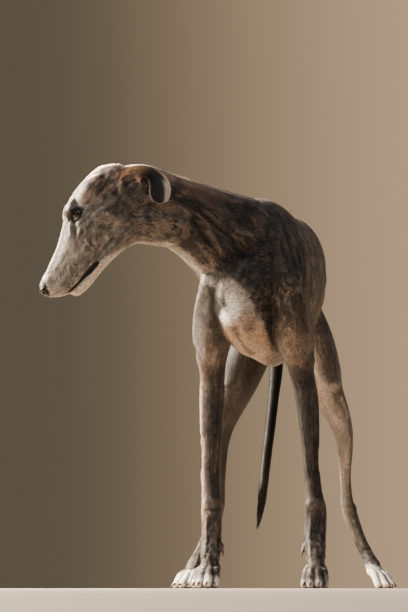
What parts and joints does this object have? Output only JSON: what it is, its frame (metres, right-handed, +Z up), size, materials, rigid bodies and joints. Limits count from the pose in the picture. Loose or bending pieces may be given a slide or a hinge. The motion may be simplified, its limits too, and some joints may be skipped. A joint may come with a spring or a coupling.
{
  "type": "greyhound model",
  "caption": "Life-size standing greyhound with its head turned to its right, folded-back ears, deep chest, tucked loin, splayed hind legs and a long hanging tail.",
  "frame": {"origin": "on the floor under the middle of the model's bounding box", "axes": "+Z up, the dog looks along -Y before it turns its head, its left side is at +X; Y is its longest direction"},
  "size_m": [0.5398, 0.9866, 0.7212],
  "materials": {
    "coat": "short dark brindle coat with grey face and white chest and toes",
    "ear": "thin short-haired ear, paler inside",
    "tail": "near-black short coat",
    "nose": "moist black nose leather",
    "eye": "clear glossy dark brown eye",
    "claw": "smooth reddish horn"
  },
  "bodies": {
    "root": {"claw_fore_left_1": "claw", "claw_fore_left_2": "claw", "claw_fore_left_3": "claw", "claw_fore_left_4": "claw", "claw_fore_left_5": "claw", "claw_fore_right_1": "claw", "claw_fore_right_2": "claw", "claw_fore_right_3": "claw", "claw_fore_right_4": "claw", "claw_fore_right_5": "claw", "claw_hind_left_1": "claw", "claw_hind_left_2": "claw", "claw_hind_left_3": "claw", "claw_hind_left_4": "claw", "claw_hind_right_1": "claw", "claw_hind_right_2": "claw", "claw_hind_right_3": "claw", "claw_hind_right_4": "claw", "ear_left": "ear", "ear_right": "ear", "eye_left": "eye", "eye_right": "eye", "foreleg_left": "coat", "foreleg_right": "coat", "head": "coat", "hock_left": "coat", "hock_right": "coat", "neck": "coat", "nose": "nose", "paw_fore_left": "coat", "paw_fore_right": "coat", "paw_hind_left": "coat", "paw_hind_right": "coat", "shank_left": "coat", "shank_right": "coat", "tail": "tail", "thigh_left": "coat", "thigh_right": "coat", "torso": "coat", "wrist_left": "coat", "wrist_right": "coat"}
  },
  "joints": []
}
